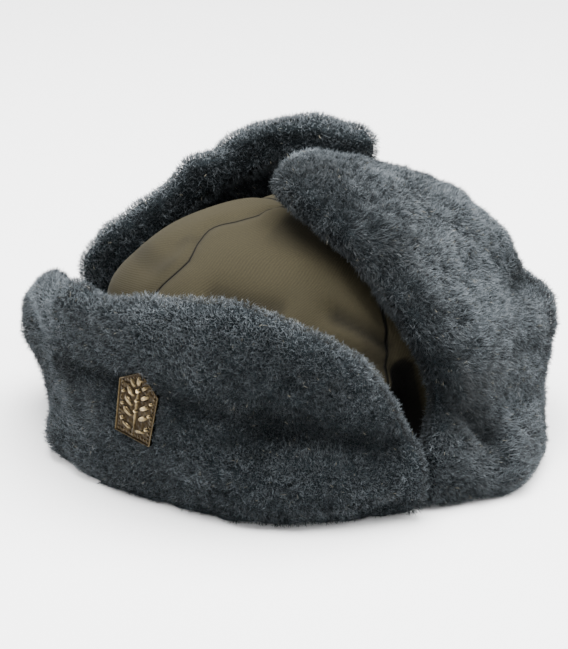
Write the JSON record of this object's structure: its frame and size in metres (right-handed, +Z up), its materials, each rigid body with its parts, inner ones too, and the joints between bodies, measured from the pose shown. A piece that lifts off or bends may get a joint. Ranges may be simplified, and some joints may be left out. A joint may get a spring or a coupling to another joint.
{
  "type": "winter cap with turned-up ear flaps",
  "caption": "Round cloth winter cap with deep pile front, ear and neck flaps turned up against the crown, and a small five-sided badge in front.",
  "frame": {"origin": "centre of the bounding box, on the surface that the cap stands on", "axes": "+Z up through the top of the crown, -Y towards the front of the cap, +X towards the wearer's left"},
  "size_m": [0.2678, 0.2506, 0.1425],
  "materials": {
    "twill": "matt olive-brown cotton twill",
    "backing": "matt dark cloth",
    "pile": "deep grey pile",
    "badge": "aged brass"
  },
  "bodies": {
    "root": {"crown_gore_front": "twill", "crown_gore_left": "twill", "crown_gore_rear": "twill", "crown_gore_right": "twill", "front_flap_pile": "pile", "front_flap_backing": "backing", "ear_flap_left_pile": "pile", "ear_flap_left_backing": "backing", "ear_flap_right_pile": "pile", "ear_flap_right_backing": "backing", "neck_flap_pile": "pile", "neck_flap_backing": "backing", "badge": "badge"}
  },
  "joints": []
}
